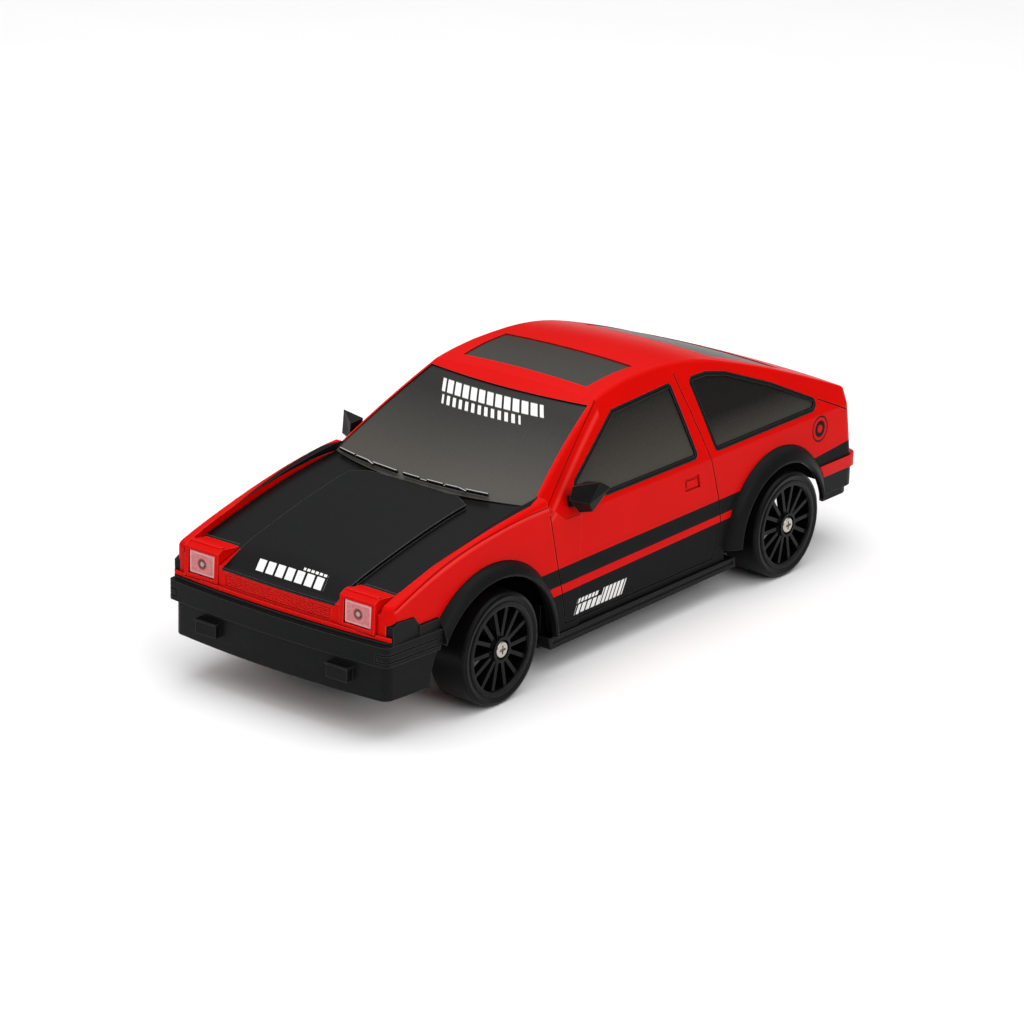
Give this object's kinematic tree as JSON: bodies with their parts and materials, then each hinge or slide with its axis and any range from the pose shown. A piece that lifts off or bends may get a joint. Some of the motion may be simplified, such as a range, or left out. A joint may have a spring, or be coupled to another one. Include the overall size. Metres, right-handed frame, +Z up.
{
  "type": "rc drift car",
  "caption": "Small radio control drift coupe with pop-up headlamps, two-tone shell, spoked wheels, shaft drive to all wheels and steered front wheels",
  "frame": {"origin": "on the ground, midway between the front and rear ends and between the sides", "axes": "+X to the front bumper, +Y to the car's left, +Z up"},
  "size_m": [0.1678, 0.0704, 0.055],
  "materials": {
    "body_red": "gloss",
    "trim_black": "satin",
    "window_smoke": "satin",
    "lens_clear": "clear",
    "lamp_dark": "gloss",
    "tail_dark": "gloss",
    "mirror_black": "gloss",
    "wiper_grey": "satin",
    "chassis_black": "satin",
    "cell_metal": "satin",
    "board_green": "satin",
    "can_steel": "satin",
    "magnet_dark": "satin",
    "screw_steel": "satin",
    "rim_black": "satin",
    "tyre_black": "matte"
  },
  "bodies": {
    "chassis": {"arch_front_left": "trim_black", "arch_front_right": "trim_black", "arch_rear_left": "trim_black", "arch_rear_right": "trim_black", "battery_cells": "cell_metal", "battery_door": "chassis_black", "battery_door_screw": "screw_steel", "body_shell": "body_red", "bonnet_panel": "trim_black", "chassis_tub": "chassis_black", "circuit_board": "board_green", "door_mirror_left": "mirror_black", "door_mirror_right": "mirror_black", "door_window_panes": "window_smoke", "door_window_surrounds": "trim_black", "front_bumper": "trim_black", "gearbox_front": "chassis_black", "gearbox_rear": "chassis_black", "grille_panel": "body_red", "headlight_boxes": "body_red", "headlight_lamps": "lamp_dark", "headlight_lenses": "lens_clear", "motor_can": "can_steel", "motor_magnets": "magnet_dark", "quarter_window_panes": "window_smoke", "quarter_window_surrounds": "trim_black", "rear_bumper": "body_red", "rear_window": "window_smoke", "servo_case": "chassis_black", "shell_screws": "screw_steel", "side_skirts": "trim_black", "sunroof_panel": "window_smoke", "switch_case": "chassis_black", "tail_lamps": "tail_dark", "windscreen": "window_smoke", "wipers": "wiper_grey"},
    "power_switch": {"power_switch": "chassis_black"},
    "motor_rotor": {"motor_rotor": "can_steel"},
    "drive_shaft": {"drive_shaft": "can_steel"},
    "rear_axle": {"rear_axle": "can_steel", "rim_rear_left": "rim_black", "rim_rear_right": "rim_black", "tyre_rear_left": "tyre_black", "tyre_rear_right": "tyre_black", "wheel_screw_rear_left": "screw_steel", "wheel_screw_rear_right": "screw_steel"},
    "front_drive": {"front_drive": "can_steel"},
    "knuckle_left": {"knuckle_left": "chassis_black"},
    "knuckle_right": {"knuckle_right": "chassis_black"},
    "front_wheel_left": {"stub_axle_left": "can_steel", "rim_front_left": "rim_black", "tyre_front_left": "tyre_black", "wheel_screw_front_left": "screw_steel"},
    "front_wheel_right": {"stub_axle_right": "can_steel", "rim_front_right": "rim_black", "tyre_front_right": "tyre_black", "wheel_screw_front_right": "screw_steel"},
    "tie_rod": {"tie_rod": "chassis_black"},
    "servo_horn": {"servo_horn": "chassis_black"}
  },
  "joints": [
    {"name": "rear_axle_spin", "type": "hinge", "parent": "chassis", "child": "rear_axle", "pos_m": [-0.0507, 0, 0.012], "axis": [0, 1, 0], "continuous": true},
    {"name": "drive_shaft_spin", "type": "hinge", "parent": "chassis", "child": "drive_shaft", "pos_m": [0, 0, 0.012], "axis": [1, 0, 0], "continuous": true},
    {"name": "motor_spin", "type": "hinge", "parent": "chassis", "child": "motor_rotor", "pos_m": [-0.032, 0.0085, 0.012], "axis": [1, 0, 0], "continuous": true},
    {"name": "front_drive_spin", "type": "hinge", "parent": "chassis", "child": "front_drive", "pos_m": [0.0493, 0, 0.012], "axis": [0, 1, 0], "continuous": true},
    {"name": "knuckle_left_steer", "type": "hinge", "parent": "chassis", "child": "knuckle_left", "pos_m": [0.0493, 0.0192, 0.012], "axis": [0, 0, 1], "range_deg": [-22, 22]},
    {"name": "knuckle_right_steer", "type": "hinge", "parent": "chassis", "child": "knuckle_right", "pos_m": [0.0493, -0.0192, 0.012], "axis": [0, 0, 1], "range_deg": [-22, 22]},
    {"name": "front_wheel_left_spin", "type": "hinge", "parent": "knuckle_left", "child": "front_wheel_left", "pos_m": [0.0493, 0.0192, 0.012], "axis": [0, 1, 0], "continuous": true},
    {"name": "front_wheel_right_spin", "type": "hinge", "parent": "knuckle_right", "child": "front_wheel_right", "pos_m": [0.0493, -0.0192, 0.012], "axis": [0, 1, 0], "continuous": true},
    {"name": "tie_rod_slide", "type": "slide", "parent": "chassis", "child": "tie_rod", "axis": [0, 1, 0], "range_m": [-0.00325, 0.00325]},
    {"name": "servo_horn_turn", "type": "hinge", "parent": "chassis", "child": "servo_horn", "pos_m": [0.0323, -0.012, 0.015], "axis": [0, 0, 1], "range_deg": [-22, 22]},
    {"name": "power_switch_slide", "type": "slide", "parent": "chassis", "child": "power_switch", "axis": [1, 0, 0], "range_m": [0, 0.0014]}
  ],
  "couplings": [
    {"joint": "drive_shaft_spin", "follows": "rear_axle_spin", "ratio": -2},
    {"joint": "motor_spin", "follows": "rear_axle_spin", "ratio": 3.6667},
    {"joint": "front_drive_spin", "follows": "rear_axle_spin", "ratio": 1},
    {"joint": "front_wheel_left_spin", "follows": "rear_axle_spin", "ratio": 1},
    {"joint": "front_wheel_right_spin", "follows": "rear_axle_spin", "ratio": 1},
    {"joint": "knuckle_right_steer", "follows": "knuckle_left_steer", "ratio": 1},
    {"joint": "servo_horn_turn", "follows": "knuckle_left_steer", "ratio": -1},
    {"joint": "tie_rod_slide", "follows": "knuckle_left_steer", "m_per_rad": -0.00835}
  ]
}
